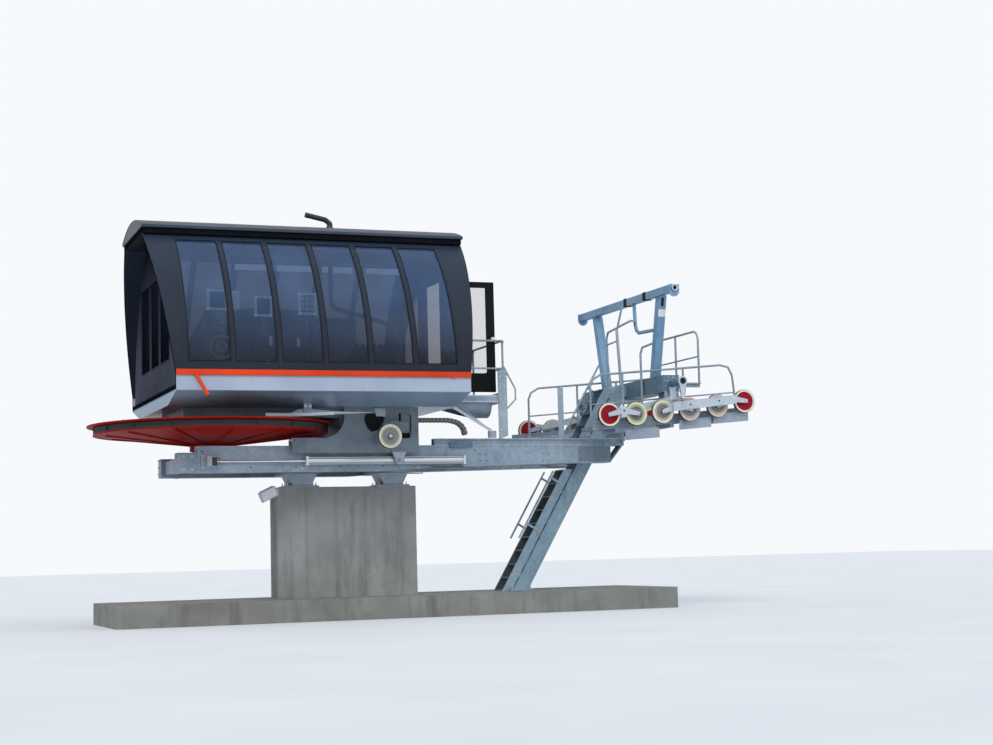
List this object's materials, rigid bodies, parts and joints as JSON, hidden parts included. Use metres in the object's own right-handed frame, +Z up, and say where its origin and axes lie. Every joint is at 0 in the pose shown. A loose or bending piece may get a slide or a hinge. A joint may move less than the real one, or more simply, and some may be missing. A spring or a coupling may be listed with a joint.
{
  "type": "chairlift drive terminal",
  "caption": "Glazed black machine room on a sliding carriage with a red bullwheel, on steel beams over a concrete pier, with a leaning leg and rope sheave trains.",
  "frame": {"origin": "on the slab's underside, below the middle of the pier's thickness and near its middle along the line", "axes": "+X uphill along the line, +Y across the line, away from the side that the picture shows, +Z up"},
  "size_m": [12.546, 5.131, 7.729],
  "materials": {
    "concrete": "cast concrete, stained",
    "galvanised_steel": "hot-dip galvanised, mottled",
    "roof_slate": "satin dark slate",
    "housing_black": "satin near-black",
    "tinted_glass": "dark tinted",
    "skirt_grey": "satin light grey",
    "orange_paint": "gloss orange-red",
    "dark_steel": "dull dark",
    "door_black": "satin black",
    "red_paint": "gloss red",
    "black_rubber": "worn rubber",
    "machine_blue": "machine paint",
    "cabinet_grey": "light grey powder coat",
    "chain_black": "black nylon links",
    "white_paint": "white",
    "lamp_grey": "light grey",
    "bright_rod": "hard chromed rod, galvanised fork",
    "barrel_grey": "drawn tube",
    "sheave_red": "red disc, pale ring",
    "sheave_grey": "grey-brown disc, pale ring"
  },
  "bodies": {
    "base": {"foundation_slab": "concrete", "concrete_pier": "concrete", "pier_pedestals": "galvanised_steel", "main_beam_near": "galvanised_steel", "main_beam_far": "galvanised_steel", "cross_members": "galvanised_steel", "support_leg": "galvanised_steel", "leg_ladder": "galvanised_steel", "crossarm": "galvanised_steel", "lifting_frame": "galvanised_steel", "tension_rods": "bright_rod", "floodlight": "lamp_grey", "catwalk_near": "galvanised_steel", "catwalk_far": "galvanised_steel", "sheave_arms_near": "galvanised_steel", "sheave_arms_far": "galvanised_steel", "rope_catchers_near": "galvanised_steel", "rope_catchers_far": "galvanised_steel", "service_platform": "galvanised_steel"},
    "carriage": {"backup_engine": "dark_steel", "carriage_frame": "galvanised_steel", "cylinder_barrels": "barrel_grey", "drag_chain": "chain_black", "drive_motor": "machine_blue", "end_glass": "tinted_glass", "end_wall_downhill": "housing_black", "end_wall_uphill": "housing_black", "exhaust_pipe": "dark_steel", "gearbox": "machine_blue", "guard_blade": "white_paint", "gutters": "orange_paint", "housing_floor": "skirt_grey", "housing_roof": "roof_slate", "landing": "galvanised_steel", "side_glass_far": "tinted_glass", "side_glass_near": "tinted_glass", "side_shell_far": "housing_black", "side_shell_near": "housing_black", "switch_cabinets": "cabinet_grey"},
    "bullwheel_body": {"bullwheel": "red_paint", "bullwheel_liner": "black_rubber"},
    "door": {"door_leaf": "door_black", "door_glass": "tinted_glass"},
    "idler_far_body": {"idler_far": "sheave_grey"},
    "idler_near_body": {"idler_near": "sheave_grey"},
    "sheave_far_1_body": {"sheave_far_1": "sheave_red"},
    "sheave_far_2_body": {"sheave_far_2": "sheave_grey"},
    "sheave_far_3_body": {"sheave_far_3": "sheave_grey"},
    "sheave_far_4_body": {"sheave_far_4": "sheave_grey"},
    "sheave_far_5_body": {"sheave_far_5": "sheave_grey"},
    "sheave_far_6_body": {"sheave_far_6": "sheave_red"},
    "sheave_near_1_body": {"sheave_near_1": "sheave_red"},
    "sheave_near_2_body": {"sheave_near_2": "sheave_grey"},
    "sheave_near_3_body": {"sheave_near_3": "sheave_grey"},
    "sheave_near_4_body": {"sheave_near_4": "sheave_grey"},
    "sheave_near_5_body": {"sheave_near_5": "sheave_grey"},
    "sheave_near_6_body": {"sheave_near_6": "sheave_red"}
  },
  "joints": [
    {"name": "carriage_slide", "type": "slide", "parent": "base", "child": "carriage", "axis": [1, 0, 0], "range_m": [-1.35, 0.35]},
    {"name": "bullwheel_spin", "type": "hinge", "parent": "carriage", "child": "bullwheel_body", "pos_m": [-2.23, 0, 3.54], "axis": [0, 0, 1], "continuous": true},
    {"name": "door_swing", "type": "hinge", "parent": "carriage", "child": "door", "pos_m": [2.1, -0.98, 5.2], "axis": [0, 0, 1], "range_deg": [0, 90]},
    {"name": "idler_near_spin", "type": "hinge", "parent": "carriage", "child": "idler_near_body", "pos_m": [0.57, -2.14, 3.28], "axis": [0, 1, 0], "continuous": true},
    {"name": "sheave_near_1_spin", "type": "hinge", "parent": "base", "child": "sheave_near_1_body", "pos_m": [4.89, -2.14, 3.68], "axis": [0, 1, 0], "continuous": true},
    {"name": "sheave_near_2_spin", "type": "hinge", "parent": "base", "child": "sheave_near_2_body", "pos_m": [5.45, -2.14, 3.7], "axis": [0, 1, 0], "continuous": true},
    {"name": "sheave_near_3_spin", "type": "hinge", "parent": "base", "child": "sheave_near_3_body", "pos_m": [6.01, -2.14, 3.74], "axis": [0, 1, 0], "continuous": true},
    {"name": "sheave_near_4_spin", "type": "hinge", "parent": "base", "child": "sheave_near_4_body", "pos_m": [6.58, -2.14, 3.785], "axis": [0, 1, 0], "continuous": true},
    {"name": "sheave_near_5_spin", "type": "hinge", "parent": "base", "child": "sheave_near_5_body", "pos_m": [7.18, -2.14, 3.86], "axis": [0, 1, 0], "continuous": true},
    {"name": "sheave_near_6_spin", "type": "hinge", "parent": "base", "child": "sheave_near_6_body", "pos_m": [7.77, -2.14, 3.95], "axis": [0, 1, 0], "continuous": true},
    {"name": "idler_far_spin", "type": "hinge", "parent": "carriage", "child": "idler_far_body", "pos_m": [0.57, 2.14, 3.28], "axis": [0, 1, 0], "continuous": true},
    {"name": "sheave_far_1_spin", "type": "hinge", "parent": "base", "child": "sheave_far_1_body", "pos_m": [4.95, 2.14, 3.68], "axis": [0, 1, 0], "continuous": true},
    {"name": "sheave_far_2_spin", "type": "hinge", "parent": "base", "child": "sheave_far_2_body", "pos_m": [5.51, 2.14, 3.7], "axis": [0, 1, 0], "continuous": true},
    {"name": "sheave_far_3_spin", "type": "hinge", "parent": "base", "child": "sheave_far_3_body", "pos_m": [6.07, 2.14, 3.74], "axis": [0, 1, 0], "continuous": true},
    {"name": "sheave_far_4_spin", "type": "hinge", "parent": "base", "child": "sheave_far_4_body", "pos_m": [6.64, 2.14, 3.785], "axis": [0, 1, 0], "continuous": true},
    {"name": "sheave_far_5_spin", "type": "hinge", "parent": "base", "child": "sheave_far_5_body", "pos_m": [7.24, 2.14, 3.86], "axis": [0, 1, 0], "continuous": true},
    {"name": "sheave_far_6_spin", "type": "hinge", "parent": "base", "child": "sheave_far_6_body", "pos_m": [7.83, 2.14, 3.95], "axis": [0, 1, 0], "continuous": true}
  ]
}
